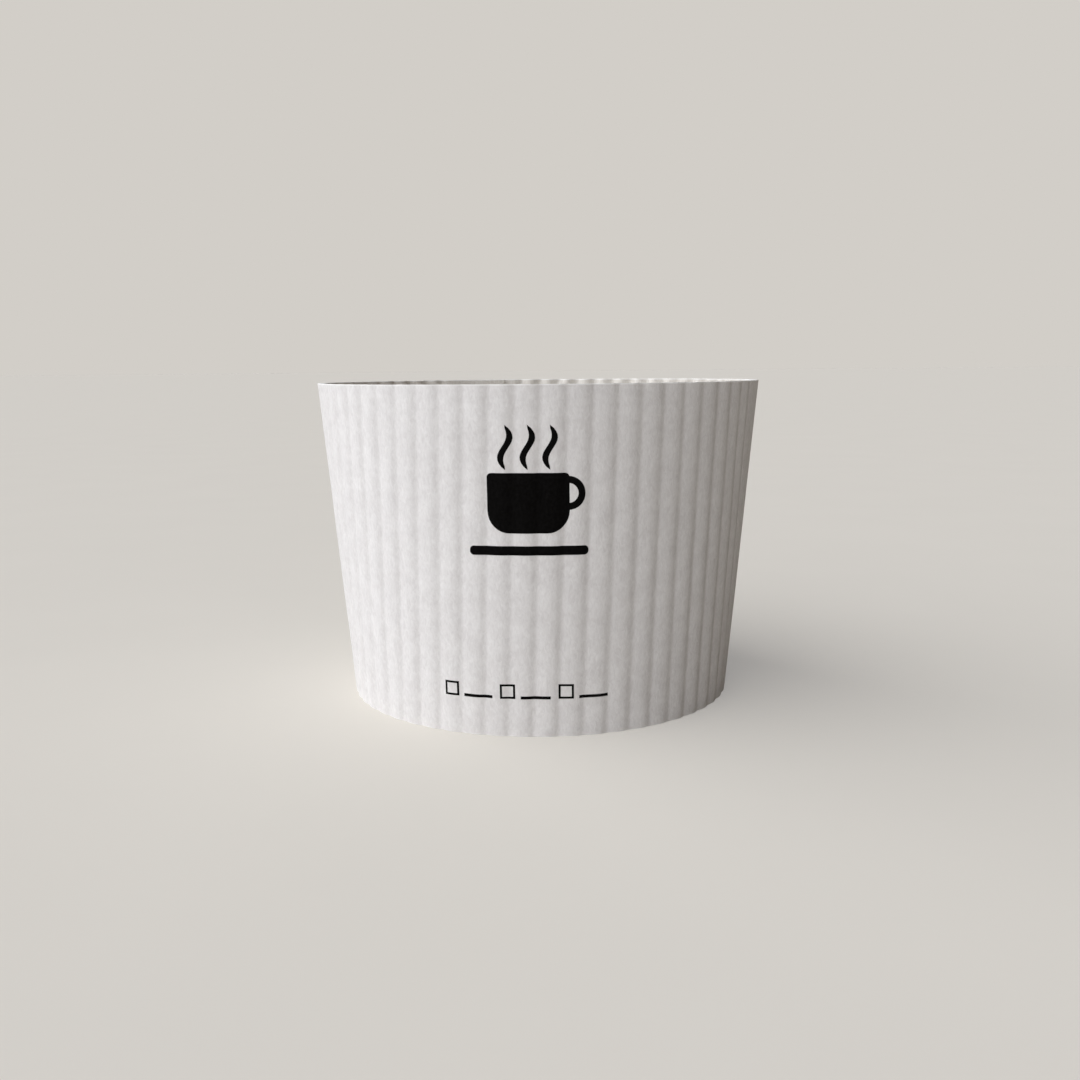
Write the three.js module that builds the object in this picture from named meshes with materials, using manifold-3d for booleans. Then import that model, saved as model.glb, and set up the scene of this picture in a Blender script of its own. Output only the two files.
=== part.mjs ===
// Coffee cup sleeve: a curved blank of single-face corrugated board, wrapped into a cone and glued behind.
// Millimetres, +Z up, -Y is the front. The origin is the centre of the lower edge.
import * as THREE from 'three';
import { mergeVertices } from 'three/addons/utils/BufferGeometryUtils.js';
import Module from 'manifold-3d';

// Wrapped sleeve
const sleeveHeight = 57.3;
const bottomDiameter = 70.9; // over the outer ridges
const wallAngle = 5.109; // degrees from the axis, the taper of the cup that it fits
const blankTurn = 19.3; // degrees, middle of the blank from the front towards +X

// Board
const boardThickness = 1.3; // inner flute tips to outer ridges
const linerThickness = 0.3; // smooth paper outside
const mediumThickness = 0.25; // fluted paper inside
const flutePitch = 4.1;
const fluteShift = 1.4; // first crest from the middle of the blank
const rippleDepth = 0.3; // the liner sinks this far between the crests
const glueWidth = 1; // glue line along each crest

// Glued seam, measured along the outside at half height
const seamOverlap = 11; // one tab over the other
const seamGroove = 0.8; // from a tab's cut end to where the other end starts to thicken
const crushRun = 3; // over this length the board is pressed down to a flat tab
const tabRoot = 1; // the pressed board reaches this far in between the flutes

// Facets
const sidesPerFlute = 6;
const sidesPerChannel = 4; // on each face of a channel between the two papers
const rowsUpWall = 3;
const seamStep = 2.5; // arc length of one facet in the seam

// Cone and flat blank
const coneAngle = THREE.MathUtils.degToRad(wallAngle);
const turn = THREE.MathUtils.degToRad(blankTurn);
const middleRadius = (bottomDiameter + sleeveHeight * Math.tan(coneAngle)) / 2;
const valleyLevel = boardThickness - rippleDepth; // outer face of the liner between the crests
const tabThickness = linerThickness + mediumThickness; // both papers, pressed flat

// The flutes stop where the board starts to be pressed down, on a line through the apex
const boardEnd = Math.PI - (seamOverlap / 2 + seamGroove + crushRun) / middleRadius;
const blankEnd = boardEnd * Math.sin(coneAngle);
const endTolerance = 1e-4; // radians
const overrun = sleeveHeight / rowsUpWall; // the board starts out one row longer at both edges

const manifoldLibrary = await Module();
manifoldLibrary.setup();

// A level is a place through the board, from 0 at the inner flute tips to boardThickness at the outer ridges.
// A phase is a place across one flute, and 0 is its crest, where the two papers touch.
function linerOuter(phase) {
  return boardThickness - rippleDepth * (1 - Math.cos(phase)) / 2;
}

// Level of one face of the fluted paper: side is 1 for its outer face, -1 for its inner face
function mediumFace(phase, side) {
  const swing = (boardThickness - linerThickness - mediumThickness) / 2;
  const middle = swing + mediumThickness / 2 + swing * Math.cos(phase);
  const slope = swing * Math.sin(phase) * 2 * Math.PI / flutePitch;
  return middle + side * mediumThickness / 2 * Math.hypot(1, slope);
}

// Space between the two papers from one crest to the next, closed at its tips by the glue lines
function channelHole(crest) {
  const gluePhase = Math.PI * glueWidth / flutePitch;
  const span = 2 * Math.PI - 2 * gluePhase;
  const top = [];
  const bottom = [];
  for (let i = 0; i <= sidesPerChannel; i++) {
    const phase = gluePhase + span * i / sidesPerChannel;
    const across = crest + phase / (2 * Math.PI) * flutePitch;
    const upper = linerOuter(phase) - linerThickness;
    const lower = mediumFace(phase, 1);
    const isTip = i === 0 || i === sidesPerChannel;
    top.push(new THREE.Vector2(isTip ? (upper + lower) / 2 : upper, across));
    if (!isTip) bottom.unshift(new THREE.Vector2(lower, across));
  }
  return new THREE.Path(top.concat(bottom));
}

// Section across the flutes: x is the level, y runs across the blank
function boardSection() {
  const reach = slantAt(sleeveHeight + overrun) * Math.sin(blankEnd);
  const firstFlute = Math.floor((-reach - fluteShift) / flutePitch);
  const lastFlute = Math.ceil((reach - fluteShift) / flutePitch);
  const outer = [];
  const inner = [];
  for (let i = firstFlute * sidesPerFlute; i <= lastFlute * sidesPerFlute; i++) {
    const across = fluteShift + i * flutePitch / sidesPerFlute;
    const phase = i * 2 * Math.PI / sidesPerFlute;
    outer.push(new THREE.Vector2(linerOuter(phase), across));
    inner.unshift(new THREE.Vector2(mediumFace(phase, -1), across));
  }
  const section = new THREE.Shape(outer.concat(inner));
  for (let flute = firstFlute; flute < lastFlute; flute++) {
    section.holes.push(channelHole(fluteShift + flute * flutePitch));
  }
  return section;
}

// Flat outline that trims both ends of the board on lines through the blank's apex
function blankOutline() {
  const lowest = -2 * overrun;
  const highest = sleeveHeight + 2 * overrun;
  const halfLow = slantAt(lowest) * Math.sin(blankEnd);
  const halfHigh = slantAt(highest) * Math.sin(blankEnd);
  const outline = new THREE.Shape();
  outline.moveTo(-halfLow, lowest);
  outline.lineTo(halfLow, lowest);
  outline.lineTo(halfHigh, highest);
  outline.lineTo(-halfHigh, highest);
  return outline;
}

// Section along the seam: one tab lies over the other, and both swell back into full board
function seamSection() {
  const cutEnd = seamOverlap / 2;
  const tabEnd = cutEnd + seamGroove;
  const runEnd = tabEnd + crushRun;
  const rootEnd = runEnd + tabRoot;
  const corners = [
    [valleyLevel, -rootEnd],
    [valleyLevel, -runEnd],
    [2 * tabThickness, -tabEnd],
    [2 * tabThickness, cutEnd],
    [tabThickness, cutEnd],
    [tabThickness, tabEnd],
    [valleyLevel, runEnd],
    [valleyLevel, rootEnd],
    [0, rootEnd],
    [0, -cutEnd],
    [tabThickness, -cutEnd],
    [tabThickness, -tabEnd],
    [0, -runEnd],
    [0, -rootEnd],
  ].map(([level, along]) => new THREE.Vector2(level, along));
  const points = [];
  corners.forEach((corner, i) => {
    const next = corners[(i + 1) % corners.length];
    const pieces = Math.ceil(Math.abs(next.y - corner.y) / seamStep) || 1;
    for (let j = 0; j < pieces; j++) points.push(corner.clone().lerp(next, j / pieces));
  });
  return new THREE.Shape(points);
}

// Distance from the cone's apex down its outer surface, which is the radius of the flat blank there
function slantAt(z) {
  return bottomDiameter / 2 / Math.sin(coneAngle) + z / Math.cos(coneAngle);
}

// Places a point by its turn from the middle of the blank, its level and its height above the lower edge
function onCone(angle, level, z) {
  const depth = (boardThickness - level) / Math.cos(coneAngle);
  const radius = slantAt(z) * Math.sin(coneAngle) - depth;
  return [radius * Math.sin(angle + turn), -radius * Math.cos(angle + turn), z];
}

// The flutes are straight and parallel on the flat blank, so they lean on the cone away from its middle.
// At both ends of the board the ridges are pressed down level with the valleys.
function wrapBlank(vertex) {
  const angle = Math.asin(vertex.y / slantAt(vertex.z)) / Math.sin(coneAngle);
  const isEnd = Math.abs(angle) > boardEnd - endTolerance;
  return onCone(angle, isEnd ? Math.min(vertex.x, valleyLevel) : vertex.x, vertex.z);
}

function wrapSeam(vertex) {
  return onCone(Math.PI + vertex.y / middleRadius, vertex.x, vertex.z);
}

function mapVertices(geometry, place) {
  const position = geometry.attributes.position;
  const vertex = new THREE.Vector3();
  for (let i = 0; i < position.count; i++) {
    vertex.fromBufferAttribute(position, i);
    position.setXYZ(i, ...place(vertex));
  }
  return geometry;
}

function toSolid(geometry) {
  geometry.deleteAttribute('normal');
  geometry.deleteAttribute('uv');
  const merged = mergeVertices(geometry);
  const vertProperties = new Float32Array(merged.attributes.position.array);
  const triVerts = new Uint32Array(merged.index.array);
  const mesh = new manifoldLibrary.Mesh({ numProp: 3, vertProperties, triVerts });
  return new manifoldLibrary.Manifold(mesh);
}

function toGeometry(solid) {
  const mesh = solid.getMesh();
  const geometry = new THREE.BufferGeometry();
  geometry.setAttribute('position', new THREE.BufferAttribute(mesh.vertProperties, 3));
  geometry.setIndex(new THREE.BufferAttribute(mesh.triVerts, 1));
  return geometry;
}

// Rows of vertices lie on both edges of the sleeve, and one more past each, where it is cut square later
function extrudeUpWall(section) {
  const steps = rowsUpWall + 2;
  const geometry = new THREE.ExtrudeGeometry(section, { depth: steps, steps, bevelEnabled: false });
  return geometry.translate(0, 0, -1).scale(1, 1, overrun);
}

function endTrimmer() {
  const depth = boardThickness + 2 * overrun;
  const trimmer = new THREE.ExtrudeGeometry(blankOutline(), { depth, bevelEnabled: false });
  trimmer.translate(0, 0, -overrun);
  const across = new THREE.Vector3(0, 1, 0);
  const upWall = new THREE.Vector3(0, 0, 1);
  const throughBoard = new THREE.Vector3(1, 0, 0);
  return trimmer.applyMatrix4(new THREE.Matrix4().makeBasis(across, upWall, throughBoard));
}

function flutedBoard() {
  const blank = toSolid(extrudeUpWall(boardSection())).intersect(toSolid(endTrimmer()));
  return toSolid(mapVertices(toGeometry(blank), wrapBlank));
}

function gluedSeam() {
  return toSolid(mapVertices(extrudeUpWall(seamSection()), wrapSeam));
}

// Space between the planes of the two cut edges
function betweenEdges() {
  const width = 4 * middleRadius;
  return toSolid(new THREE.BoxGeometry(width, width, sleeveHeight).translate(0, 0, sleeveHeight / 2));
}

function sleeveGeometry() {
  const wrapped = flutedBoard().add(gluedSeam());
  const geometry = toGeometry(wrapped.intersect(betweenEdges())).toNonIndexed();
  geometry.computeVertexNormals();
  return geometry;
}

const whitePaper = new THREE.MeshStandardMaterial({ color: 0xe4e4e6, roughness: 0.85, metalness: 0 });

const sleeve = new THREE.Mesh(sleeveGeometry(), whitePaper);
sleeve.name = 'sleeve';

const part = new THREE.Group();
part.add(sleeve);

export default part;
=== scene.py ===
import math

import bmesh
import bpy
from mathutils import Matrix, Vector, noise


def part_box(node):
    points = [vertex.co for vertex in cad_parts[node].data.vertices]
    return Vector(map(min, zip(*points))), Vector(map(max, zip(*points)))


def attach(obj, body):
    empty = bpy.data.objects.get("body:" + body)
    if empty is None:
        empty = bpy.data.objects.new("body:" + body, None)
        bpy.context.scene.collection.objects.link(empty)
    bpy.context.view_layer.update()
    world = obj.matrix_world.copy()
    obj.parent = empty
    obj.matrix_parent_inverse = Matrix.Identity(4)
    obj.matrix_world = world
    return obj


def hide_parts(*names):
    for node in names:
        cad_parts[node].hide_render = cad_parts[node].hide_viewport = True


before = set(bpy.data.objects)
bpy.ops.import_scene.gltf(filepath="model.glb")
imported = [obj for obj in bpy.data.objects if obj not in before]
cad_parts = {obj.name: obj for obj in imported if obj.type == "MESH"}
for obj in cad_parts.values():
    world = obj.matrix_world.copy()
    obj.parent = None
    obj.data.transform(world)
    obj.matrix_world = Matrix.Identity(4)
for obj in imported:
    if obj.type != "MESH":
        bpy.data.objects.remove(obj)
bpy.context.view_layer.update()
sleeveLow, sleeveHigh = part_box("sleeve")
sleeveHeight = sleeveHigh.z - sleeveLow.z
print("frame loaded, sleeve", round(sleeveHeight * 1000, 1), "mm high")

mm = 0.001

# The board of the sleeve; its flutes are straight and parallel on the flat blank
board = {
    "bottomRadius": 35.45 * mm,  # over the outer ridges
    "wallAngle": math.radians(5.109),  # from the axis
    "blankTurn": math.radians(19.3),  # middle of the blank, from the front towards +X
    "thickness": 1.3 * mm,  # inner flute tips to outer ridges
    "liner": 0.3 * mm,  # smooth paper outside
    "medium": 0.25 * mm,  # fluted paper inside
    "pitch": 4.1 * mm,
    "fluteShift": 1.4 * mm,  # first crest from the middle of the blank
    "ripple": 0.23 * mm,  # the liner sinks this far between the crests
    "ridgeBreadth": 0.21,  # above 0 the ridges are broader than the valleys
    "valleyCrease": 0.067,  # above 0 the valleys have a narrow bottom
    "valleyLean": math.radians(19),  # the valleys lie this much nearer to one of their ridges
    "rippleWander": 0.25,  # share by which the ripple grows and fades along a flute
    "wanderSize": (5 * mm, 16 * mm),  # across the flutes and along them
    "wanderLayer": 1.3,  # which layer of the noise it reads
    "dents": 0.03 * mm,
    "dentSize": (7 * mm, 11 * mm),
    "dentLayer": 3.7,
    "glueBite": 0.02 * mm,  # the fluted paper is pressed this far into the liner
    "overlap": 11 * mm,  # one tab over the other
    "groove": 0.8 * mm,  # from a tab's cut end to where the other end starts to thicken
    "pressRun": 3 * mm,  # over this length the board is pressed flat
    "tabRipple": 0.02 * mm,  # what is left of the ridges in the pressed tabs
    "columnsPerFlute": 16,
    "rows": 32,
    "edgeRow": 0.15 * mm,  # a row of faces this narrow runs along each cut edge
    "edgeRound": 0.08 * mm,
    "cornerAngle": math.radians(60),  # only the corners of the cut edges bend more than this
    "weld": 0.1 * mm,
}


# Cone and flat blank
def slantAt(z):
    return board["bottomRadius"] / math.sin(board["wallAngle"]) + z / math.cos(board["wallAngle"])


def turnAt(across, z):  # turn round the cone, from the middle of the blank
    return math.asin(across / slantAt(z)) / math.sin(board["wallAngle"])


def acrossAt(turn, z):
    return slantAt(z) * math.sin(turn * math.sin(board["wallAngle"]))


def onCone(turn, level, z):
    depth = (board["thickness"] - level) / math.cos(board["wallAngle"])
    radius = slantAt(z) * math.sin(board["wallAngle"]) - depth
    angle = turn + board["blankTurn"]
    return Vector((radius * math.sin(angle), -radius * math.cos(angle), z))


def mixed(low, high, share):
    return low + (high - low) * share


def smoothStep(share):
    share = min(max(share, 0), 1)
    return share * share * (3 - 2 * share)


middleRadius = board["bottomRadius"] + sleeveHeight * math.tan(board["wallAngle"]) / 2
tabThickness = board["liner"] + board["medium"]
cutTurn = math.pi + board["overlap"] / 2 / middleRadius  # where each tab is cut off


# How far the board is pressed flat towards the seam, from 0 to 1
def pressedAt(turn):
    along = (abs(turn) - math.pi) * middleRadius
    tabStart = -board["overlap"] / 2 - board["groove"]
    return smoothStep((along - tabStart) / board["pressRun"] + 1)


def flutePhase(across):
    return (across - board["fluteShift"]) * 2 * math.pi / board["pitch"]


# Soft swing between about -1 and 1, over patches of the given width and height
def softSwing(across, z, size, layer):
    return noise.noise(Vector((across / size[0], z / size[1], layer)))


def dentAt(across, z):
    return board["dents"] * softSwing(across, z, board["dentSize"], board["dentLayer"])


# The liner's wave across one flute, not yet scaled: broad ridges and narrow, leaning valleys
def ridgeWave(phase):
    leaning = phase + board["valleyLean"]
    broad = board["ridgeBreadth"] * math.cos(2 * leaning)
    return math.cos(phase) - broad + board["valleyCrease"] * math.cos(3 * leaning)


waveHeights = [ridgeWave(math.radians(phase)) for phase in range(360)]
valleyBottom, ridgeTop = min(waveHeights), max(waveHeights)


# Level of the liner's outer face: 0 is at the inner flute tips
def linerLevel(across, z):
    turn = turnAt(across, z)
    rise = (ridgeWave(flutePhase(across)) - valleyBottom) / (ridgeTop - valleyBottom)
    swing = softSwing(across, z, board["wanderSize"], board["wanderLayer"])
    sink = board["ripple"] * (1 - rise) * (1 + board["rippleWander"] * swing)
    free = board["thickness"] - board["dents"] + dentAt(across, z) - sink
    tab = tabThickness * (2 if turn > 0 else 1) + board["tabRipple"] * (rise - 0.5)
    return mixed(free, tab, pressedAt(turn))


# Level of the middle of the fluted paper, which swings from the liner to the inner face
def mediumLevel(across, z):
    turn = turnAt(across, z)
    half = board["medium"] / 2
    crest = board["thickness"] - board["liner"] - half + board["glueBite"]
    crest += dentAt(across, z) - board["dents"]
    free = mixed(half, crest, (1 + math.cos(flutePhase(across))) / 2)
    tab = tabThickness * (1 if turn > 0 else 0) + half + board["glueBite"] / 2
    return mixed(free, tab, pressedAt(turn))


# Helpers
smoothAngle = math.radians(35)  # edges that bend less than this are shaded smooth


def linear(channel):
    return channel / 12.92 if channel <= 0.04045 else ((channel + 0.055) / 1.055) ** 2.4


def hexColour(text):
    return tuple(linear(int(text[i:i + 2], 16) / 255) for i in (1, 3, 5)) + (1,)


def addNode(tree, kind, inputs=None, **settings):
    node = tree.nodes.new("ShaderNode" + kind)
    for name, value in settings.items():
        setattr(node, name, value)
    for socket, value in (inputs or {}).items():
        if isinstance(value, bpy.types.NodeSocket):
            tree.links.new(value, node.inputs[socket])
        else:
            node.inputs[socket].default_value = value
    return node


def newMaterial(name):
    material = bpy.data.materials.new(name)
    material.use_nodes = True
    return material, material.node_tree, material.node_tree.nodes["Principled BSDF"]


def addPiece(bm, name, material):
    mesh = bpy.data.meshes.new(name)
    bm.to_mesh(mesh)
    bm.free()
    mesh.materials.append(material)
    piece = bpy.data.objects.new(name, mesh)
    bpy.context.collection.objects.link(piece)
    print(name, "made,", len(mesh.polygons), "faces")
    return piece


def shadeSmooth(bm):
    for face in bm.faces:
        face.smooth = True
    for edge in bm.edges:
        edge.smooth = edge.calc_face_angle(0) < smoothAngle


# Gives a sheet that faces outwards its thickness, inwards
def thicken(bm, thickness):
    bmesh.ops.recalc_face_normals(bm, faces=bm.faces)
    bmesh.ops.reverse_faces(bm, faces=bm.faces)  # the new wall is made on the side that the faces look to
    bmesh.ops.solidify(bm, geom=bm.faces[:], thickness=thickness)


def cutAlong(bm, place, normal, isTrim=False):
    geometry = bm.verts[:] + bm.edges[:] + bm.faces[:]
    bmesh.ops.bisect_plane(bm, geom=geometry, plane_co=place, plane_no=normal, clear_outer=isTrim)


# Materials
paper = {
    "white": "#f0eeee",
    "shade": "#dfdcdc",
    "fluteWhite": "#e4e0da",
    "fluteShade": "#d2ccc4",
    # paper at the top and bottom cut edges: partly paler cut fibres, partly a painted highlight of the edge
    "cutWhiteAndHighlight": "#fbfaf9",
    "cloudSize": 3 * mm,  # patches of denser fibre
    "cloudDetail": 3,
    "fibreSize": 0.45 * mm,  # clumps of fibres, coarser than the real fibres so that they show
    "fibreDetail": 5,
    "fibreCurl": 0.8,
    "fibreLength": 2.2,  # times as long up the wall as across it
    "fibreHeight": 0.05 * mm,
    "fibreShare": 1.7,  # weight of the fibres in the paper's tone, against 1 for its clouds
    "toneSpread": 0.85,  # the weighted noise runs from shade to white over this much
    "cutAndHighlightDepth": 0.25 * mm,  # the paler cut fibres and the painted highlight of the top and bottom edges reach this far in
    "roughness": 0.85,
    "ior": 1.5,
}


# Bleached kraft paper, uncoated: matte, faintly cloudy, with its fibres just showing, and whiter in a band
# along the top
# and bottom edges: partly the fibres a knife has opened there, partly a painted highlight of the edge under
# the light from above
def kraftPaper(name, lightHex, darkHex):
    material, tree, shader = newMaterial(name)
    place = addNode(tree, "TexCoord").outputs["Object"]
    cloudInputs = {"Vector": place, "Scale": 1 / paper["cloudSize"], "Detail": paper["cloudDetail"]}
    cloud = addNode(tree, "TexNoise", cloudInputs)
    stretch = (1, 1, 1 / paper["fibreLength"])
    grain = addNode(tree, "Mapping", {"Vector": place, "Scale": stretch}).outputs["Vector"]
    fibreInputs = {"Vector": grain, "Scale": 1 / paper["fibreSize"], "Detail": paper["fibreDetail"],
                   "Distortion": paper["fibreCurl"]}
    fibre = addNode(tree, "TexNoise", fibreInputs)
    sumInputs = {0: fibre.outputs["Fac"], 1: paper["fibreShare"], 2: cloud.outputs["Fac"]}
    both = addNode(tree, "Math", sumInputs, operation="MULTIPLY_ADD")
    average = (1 + paper["fibreShare"]) / 2
    darkest = average - paper["toneSpread"] / 2
    whitest = average + paper["toneSpread"] / 2
    share = addNode(tree, "MapRange", {"Value": both.outputs[0], "From Min": darkest, "From Max": whitest})
    colourInputs = {0: share.outputs[0], 6: hexColour(darkHex), 7: hexColour(lightHex)}
    colour = addNode(tree, "Mix", colourInputs, data_type="RGBA")

    # painted highlight: a band along the top and bottom edges is mixed towards cut white, partly for the
    # paler cut fibres
    height = addNode(tree, "SeparateXYZ", {0: place}).outputs["Z"]
    middle = sleeveHeight / 2
    fromMiddle = addNode(tree, "Math", {0: height, 1: middle}, operation="SUBTRACT")
    distance = addNode(tree, "Math", {0: fromMiddle.outputs[0]}, operation="ABSOLUTE")
    cutAndHighlightInputs = {"Value": distance.outputs[0], "From Min": middle - paper["cutAndHighlightDepth"], "From Max": middle}
    cutAndHighlightShare = addNode(tree, "MapRange", cutAndHighlightInputs)
    wholeInputs = {0: cutAndHighlightShare.outputs[0], 6: colour.outputs[2], 7: hexColour(paper["cutWhiteAndHighlight"])}
    whole = addNode(tree, "Mix", wholeInputs, data_type="RGBA")

    bumpInputs = {"Height": fibre.outputs["Fac"], "Distance": paper["fibreHeight"], "Strength": 1}
    bump = addNode(tree, "Bump", bumpInputs)
    tree.links.new(whole.outputs[2], shader.inputs["Base Color"])
    tree.links.new(bump.outputs["Normal"], shader.inputs["Normal"])
    shader.inputs["Roughness"].default_value = paper["roughness"]
    shader.inputs["IOR"].default_value = paper["ior"]
    return material


ink = {
    "full": "#060505",
    "thin": "#100f0f",
    "roughness": 0.8,
    "ior": 1.45,
    "gloss": 0.05,  # the paper drinks the oil, so the ink hardly shines
    "fibreDetail": 4,
    "fullBelow": 0.35,  # heights in the fibre noise between which the ink goes from full to thin
    "thinAbove": 0.75,
}


# Black offset ink, soaked into the paper: matte, a little thinner where the fibres stand up
def offsetInk():
    material, tree, shader = newMaterial("blackOffsetInk")
    place = addNode(tree, "TexCoord").outputs["Object"]
    fibreInputs = {"Vector": place, "Scale": 1 / paper["fibreSize"], "Detail": ink["fibreDetail"]}
    fibre = addNode(tree, "TexNoise", fibreInputs)
    shareInputs = {"Value": fibre.outputs["Fac"], "From Min": ink["fullBelow"], "From Max": ink["thinAbove"]}
    share = addNode(tree, "MapRange", shareInputs)
    colourInputs = {0: share.outputs[0], 6: hexColour(ink["full"]), 7: hexColour(ink["thin"])}
    colour = addNode(tree, "Mix", colourInputs, data_type="RGBA")
    tree.links.new(colour.outputs[2], shader.inputs["Base Color"])
    shader.inputs["Roughness"].default_value = ink["roughness"]
    shader.inputs["IOR"].default_value = ink["ior"]
    shader.inputs["Specular IOR Level"].default_value = ink["gloss"]
    return material


linerMaterial = kraftPaper("whiteKraftLiner", paper["white"], paper["shade"])
flutingMaterial = kraftPaper("whiteFlutingPaper", paper["fluteWhite"], paper["fluteShade"])
inkMaterial = offsetInk()
print("materials ready")


# Flat blank of one paper, with its columns in step with the flutes and both tabs cut off on lines
# through the cone's apex; x runs across, y is the height above the lower edge
def flatBlank():
    column = board["pitch"] / board["columnsPerFlute"]
    reach = math.ceil(acrossAt(cutTurn, sleeveHeight) / board["pitch"]) * board["pitch"]
    columns = round(2 * reach / column)
    bm = bmesh.new()
    bmesh.ops.create_grid(bm, x_segments=columns, y_segments=board["rows"], size=1)
    bmesh.ops.scale(bm, vec=(reach, sleeveHeight / 2, 1), verts=bm.verts)
    bmesh.ops.translate(bm, vec=(board["fluteShift"], sleeveHeight / 2, 0), verts=bm.verts)
    cutAlong(bm, (0, board["edgeRow"], 0), (0, 1, 0))
    cutAlong(bm, (0, sleeveHeight - board["edgeRow"], 0), (0, 1, 0))
    lean = math.sin(cutTurn * math.sin(board["wallAngle"])) / math.cos(board["wallAngle"])
    for side in (-1, 1):
        cutAlong(bm, (side * acrossAt(cutTurn, 0), 0, 0), (side, -lean, 0), isTrim=True)
    bmesh.ops.remove_doubles(bm, verts=bm.verts, dist=board["weld"])
    return bm


# Wraps a flat blank round the cone and gives it its thickness; the cut edges are square and barely rounded
def wrapPaper(bm, levelAt, thickness):
    for vertex in bm.verts:
        across, z, _ = vertex.co
        vertex.co = onCone(turnAt(across, z), levelAt(across, z), z)
    thicken(bm, thickness)
    for vertex in bm.verts:
        if abs(vertex.co.z) < board["edgeRow"] / 2:
            vertex.co.z = 0
        if abs(vertex.co.z - sleeveHeight) < board["edgeRow"] / 2:
            vertex.co.z = sleeveHeight
    corners = [edge for edge in bm.edges if edge.calc_face_angle(0) > board["cornerAngle"]]
    bmesh.ops.bevel(bm, geom=corners, offset=board["edgeRound"], segments=2, profile=0.5,
                    affect="EDGES", material=-1, clamp_overlap=True)
    for vertex in bm.verts:
        vertex.co.z = min(max(vertex.co.z, 0), sleeveHeight)
    shadeSmooth(bm)


def outerPaper():
    bm = flatBlank()
    wrapPaper(bm, linerLevel, board["liner"])
    return addPiece(bm, "outerPaper", linerMaterial)


def flutedPaper():
    bm = flatBlank()
    half = board["medium"] / 2
    wrapPaper(bm, lambda across, z: mediumLevel(across, z) + half, board["medium"])
    return addPiece(bm, "flutedPaper", flutingMaterial)


for paperPiece in (outerPaper(), flutedPaper()):
    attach(paperPiece, "root")
    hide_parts("sleeve")


# Print, in black: a steaming cup on its saucer, and below it a row of open tick boxes with short rules.
# Flat shapes are diced and laid on the liner as a thin film; x and y count from the middle of each print
printing = {
    "film": 0.02 * mm,
    "lift": 0.03 * mm,  # of the film's outer face
    "dice": (0.4 * mm, 1.5 * mm),  # the shapes are cut this small to follow the ridges
    "roundSteps": 8,
    "weld": 0.01 * mm,
}

pictogram = {
    "azimuth": math.radians(-2.5),  # from the front towards +X
    "height": 39.6 * mm,
    "cupSize": (13 * mm, 9.6 * mm),
    "rimRound": 0.7 * mm,
    "baseRound": 3.6 * mm,
    "handleRadii": (1.6 * mm, 2.7 * mm),
    "handlePlace": (6.3 * mm, 0.9 * mm),
    "handleSides": 32,
    "saucerSize": (19 * mm, 1.5 * mm),
    "saucerRound": 0.675 * mm,
    "saucerHeight": -8.3 * mm,
    "steamSize": (1.1 * mm, 7 * mm),
    "steamStep": 3.5 * mm,
    "steamHeight": 8.1 * mm,
    "steamSwing": 0.75 * mm,
    "steamCells": (2, 14),  # across and along one stroke
}

tickBoxes = {
    "azimuth": math.radians(-4),
    "height": 7.8 * mm,
    "count": 3,
    "step": 9.6 * mm,
    "size": 2.5 * mm,
    "line": 0.5 * mm,
    "ruleSize": (4.9 * mm, 0.5 * mm),
    "ruleGap": 0.9 * mm,
}


def addPlate(bm, size, place):
    made = bmesh.ops.create_grid(bm, x_segments=1, y_segments=1, size=0.5)["verts"]
    bmesh.ops.scale(bm, vec=(*size, 1), verts=made)
    bmesh.ops.translate(bm, vec=(*place, 0), verts=made)
    return made


def roundCorners(bm, corners, radius):
    bmesh.ops.bevel(bm, geom=corners, offset=radius, segments=printing["roundSteps"], profile=0.5,
                    affect="VERTICES", material=-1)


def addFrame(bm, size, line, place):
    plate = addPlate(bm, size, place)
    inner = plate[0].link_faces[0]
    bmesh.ops.inset_individual(bm, faces=[inner], thickness=line)
    bmesh.ops.delete(bm, geom=[inner], context="FACES")


# One stroke of steam: a strip that swings to both sides and thins towards its ends
def addSteam(bm, middle):
    width, length = pictogram["steamSize"]
    cellsAcross, cellsAlong = pictogram["steamCells"]
    made = bmesh.ops.create_grid(bm, x_segments=cellsAcross, y_segments=cellsAlong, size=0.5)["verts"]
    for vertex in made:
        x, y, _ = vertex.co
        swing = pictogram["steamSwing"] * math.sin(2 * math.pi * y)
        vertex.co.x = middle + x * width * math.sqrt(max(1 - 4 * y * y, 0)) + swing
        vertex.co.y = pictogram["steamHeight"] + y * length
    bmesh.ops.remove_doubles(bm, verts=made, dist=printing["weld"])


# The handle starts as a whole ring, and the part inside the cup's outline is cut away
def addHandle(bm):
    inner, outer = pictogram["handleRadii"]
    ring = bmesh.new()
    bmesh.ops.create_circle(ring, segments=pictogram["handleSides"], radius=outer)
    rim = ring.edges[:]
    made = bmesh.ops.extrude_edge_only(ring, edges=rim)["geom"]
    inside = [item for item in made if isinstance(item, bmesh.types.BMVert)]
    bmesh.ops.scale(ring, vec=(inner / outer, inner / outer, 1), verts=inside)
    bmesh.ops.translate(ring, vec=(*pictogram["handlePlace"], 0), verts=ring.verts)
    cutAlong(ring, (pictogram["cupSize"][0] / 2 - printing["lift"], 0, 0), (-1, 0, 0), isTrim=True)
    spare = bpy.data.meshes.new("handle")
    ring.to_mesh(spare)
    ring.free()
    bm.from_mesh(spare)
    bpy.data.meshes.remove(spare)


def drawPictogram(bm):
    cup = addPlate(bm, pictogram["cupSize"], (0, -pictogram["rimRound"]))
    low = [corner for corner in cup if corner.co.y < -pictogram["rimRound"]]
    high = [corner for corner in cup if corner not in low]
    roundCorners(bm, high, pictogram["rimRound"])
    roundCorners(bm, [corner for corner in low if corner.is_valid], pictogram["baseRound"])
    saucer = addPlate(bm, pictogram["saucerSize"], (0, pictogram["saucerHeight"]))
    roundCorners(bm, saucer, pictogram["saucerRound"])
    addHandle(bm)
    for stroke in (-1, 0, 1):
        addSteam(bm, stroke * pictogram["steamStep"])


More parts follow.
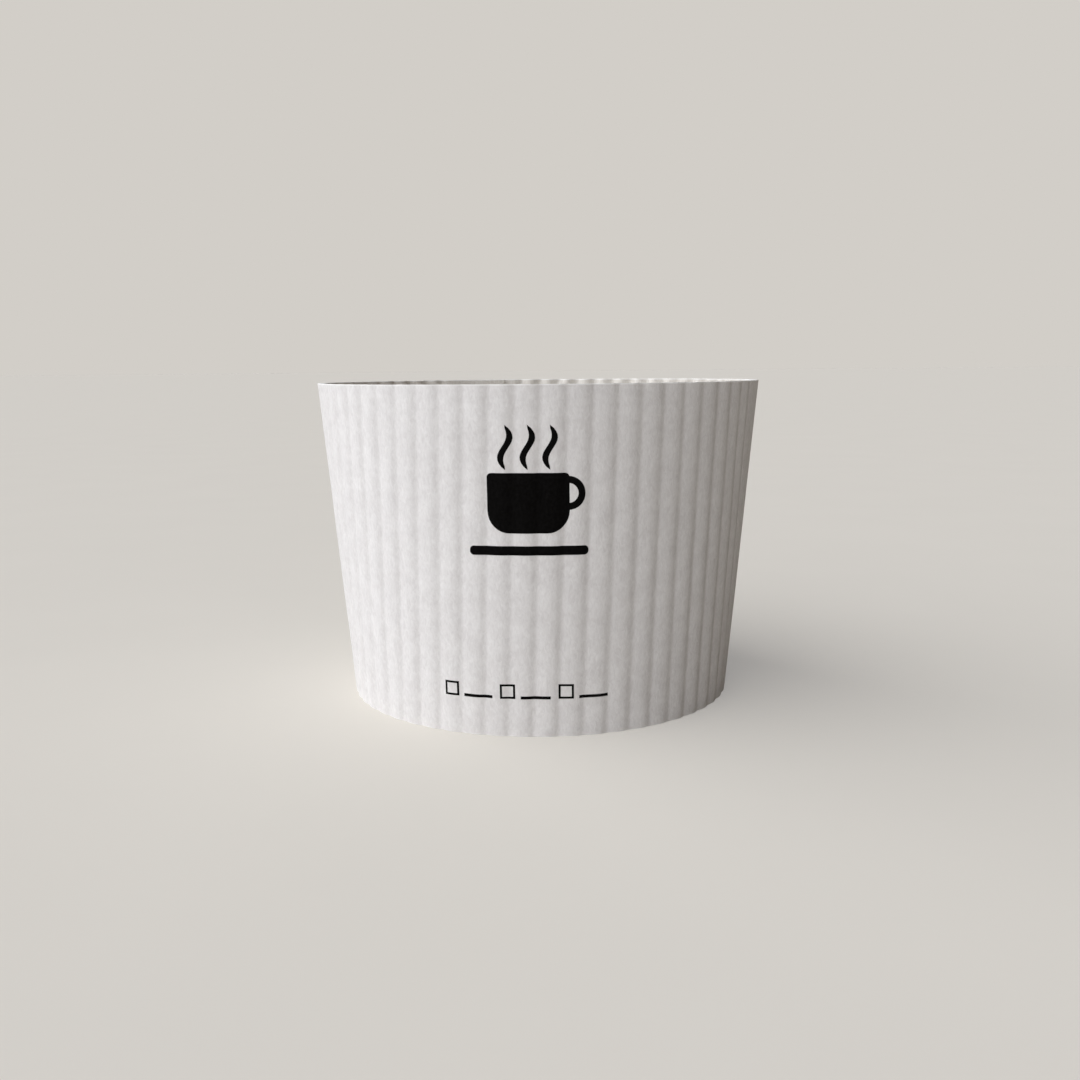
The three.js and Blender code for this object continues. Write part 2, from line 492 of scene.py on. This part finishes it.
def drawTickBoxes(bm):
    ruleLength, ruleLine = tickBoxes["ruleSize"]
    unitLength = tickBoxes["size"] + tickBoxes["ruleGap"] + ruleLength
    for i in range(tickBoxes["count"]):
        left = (i - (tickBoxes["count"] - 1) / 2) * tickBoxes["step"] - unitLength / 2
        boxSize = (tickBoxes["size"], tickBoxes["size"])
        addFrame(bm, boxSize, tickBoxes["line"], (left + tickBoxes["size"] / 2, 0))
        ruleMiddle = left + unitLength - ruleLength / 2
        addPlate(bm, (ruleLength, ruleLine), (ruleMiddle, (ruleLine - tickBoxes["size"]) / 2))


def dice(bm):
    for axis, step in enumerate(printing["dice"]):
        normal = Vector((axis == 0, axis == 1, 0))
        low = min(vertex.co[axis] for vertex in bm.verts)
        high = max(vertex.co[axis] for vertex in bm.verts)
        for i in range(math.ceil(low / step), math.floor(high / step) + 1):
            cutAlong(bm, normal * step * i, normal)


def onLiner(azimuth, height, x, y):
    z = height + y * math.cos(board["wallAngle"])
    radius = slantAt(z) * math.sin(board["wallAngle"])
    turn = azimuth + x / radius - board["blankTurn"]
    return onCone(turn, linerLevel(acrossAt(turn, z), z) + printing["lift"], z)


def printedPiece(name, draw, settings):
    bm = bmesh.new()
    draw(bm)
    dice(bm)
    bmesh.ops.triangulate(bm, faces=bm.faces[:])
    for vertex in bm.verts:
        vertex.co = onLiner(settings["azimuth"], settings["height"], vertex.co.x, vertex.co.y)
    thicken(bm, printing["film"])
    shadeSmooth(bm)
    piece = addPiece(bm, name, inkMaterial)
    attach(piece, "root")


printedPiece("cupPictogram", drawPictogram, pictogram)
printedPiece("tickBoxRow", drawTickBoxes, tickBoxes)

# Floor, light and camera
studio = {
    "keyLevel": 1.5,  # its wide spread and the floor in its way bring it down to about 1 on the object
    "keyAzimuth": math.radians(-65),  # from the front towards +X
    "keyElevation": math.radians(25),
    "keySpread": math.radians(120),  # as wide as a large soft screen close by
    "keyColour": "#f8fbff",
    "fillLevel": 0.07,
    "fillColour": "#ffe6cc",
    "floor": "#bbb5ab",
    "floorCloud": "#b7b1a7",
    "floorCloudSize": 40 * mm,
    "floorRoughness": 0.9,
    "floorRadius": 30,
    "floorSides": 64,
    "floorGlow": 0.26,  # only the camera sees it, so that the floor is pale and throws back no more light
    "backdrop": "#d2cec8",  # the floor's own tone at the horizon
}


# Matte board: pale, hardly clouded and without any shine
def addFloor():
    bm = bmesh.new()
    bmesh.ops.create_circle(bm, cap_ends=True, segments=studio["floorSides"], radius=studio["floorRadius"])
    material, tree, shader = newMaterial("matteBoard")
    place = addNode(tree, "TexCoord").outputs["Object"]
    cloudInputs = {"Vector": place, "Scale": 1 / studio["floorCloudSize"], "Detail": paper["cloudDetail"]}
    cloud = addNode(tree, "TexNoise", cloudInputs)
    tones = hexColour(studio["floorCloud"]), hexColour(studio["floor"])
    colourInputs = {0: cloud.outputs["Fac"], 6: tones[0], 7: tones[1]}
    colour = addNode(tree, "Mix", colourInputs, data_type="RGBA")
    rays = addNode(tree, "LightPath")
    glowInputs = {0: rays.outputs["Is Camera Ray"], 1: studio["floorGlow"]}
    glow = addNode(tree, "Math", glowInputs, operation="MULTIPLY")
    tree.links.new(colour.outputs[2], shader.inputs["Base Color"])
    tree.links.new(glow.outputs[0], shader.inputs["Emission Strength"])
    shader.inputs["Emission Color"].default_value = hexColour("#ffffff")
    shader.inputs["Roughness"].default_value = studio["floorRoughness"]
    shader.inputs["Specular IOR Level"].default_value = 0
    floor = addPiece(bm, "floor", material)


def addLights():
    lamp = bpy.data.lights.new("softKey", "SUN")
    lamp.energy = studio["keyLevel"] * math.pi
    lamp.angle = studio["keySpread"]
    lamp.color = hexColour(studio["keyColour"])[:3]
    key = bpy.data.objects.new("softKey", lamp)
    aim = Matrix.Rotation(studio["keyAzimuth"], 4, "Z")
    key.matrix_world = aim @ Matrix.Rotation(math.radians(90) - studio["keyElevation"], 4, "X")
    bpy.context.collection.objects.link(key)

    world = bpy.data.worlds.new("studio")
    world.use_nodes = True
    tree = world.node_tree
    tree.nodes.clear()
    rays = addNode(tree, "LightPath")
    seen = addNode(tree, "Math", {0: rays.outputs["Is Camera Ray"], 1: rays.outputs["Is Glossy Ray"]},
                   operation="MAXIMUM")
    seen = addNode(tree, "Math", {0: seen.outputs[0], 1: rays.outputs["Is Transmission Ray"]},
                   operation="MAXIMUM")
    fillInputs = {"Color": hexColour(studio["fillColour"]), "Strength": studio["fillLevel"]}
    fill = addNode(tree, "Background", fillInputs)
    pale = addNode(tree, "Background", {"Color": hexColour(studio["backdrop"]), "Strength": 1})
    both = addNode(tree, "MixShader", {0: seen.outputs[0], 1: fill.outputs[0], 2: pale.outputs[0]})
    addNode(tree, "OutputWorld", {"Surface": both.outputs[0]})
    bpy.context.scene.world = world


# Camera: where it stood for the photo, in the sleeve's own frame
view = {
    "eye": Vector((0.0693, -209.957, 59.559)) * mm,
    "down": math.radians(8.765),
    "left": math.radians(-0.0108),
    "roll": math.radians(-0.4876),
    "lens": 36.98,
    "sensor": 36,
    "nearest": 10 * mm,
}


def addCamera():
    lens = bpy.data.cameras.new("camera")
    lens.lens = view["lens"]
    lens.sensor_width = view["sensor"]
    lens.sensor_fit = "HORIZONTAL"
    lens.clip_start = view["nearest"]
    camera = bpy.data.objects.new("camera", lens)
    aim = Matrix.Rotation(view["left"], 4, "Z") @ Matrix.Rotation(math.radians(90) - view["down"], 4, "X")
    camera.matrix_world = Matrix.Translation(view["eye"]) @ aim @ Matrix.Rotation(view["roll"], 4, "Z")
    bpy.context.collection.objects.link(camera)
    bpy.context.scene.camera = camera


addFloor()
addLights()
addCamera()
bpy.context.scene.view_settings.view_transform = "Standard"
print("floor, light and camera ready")
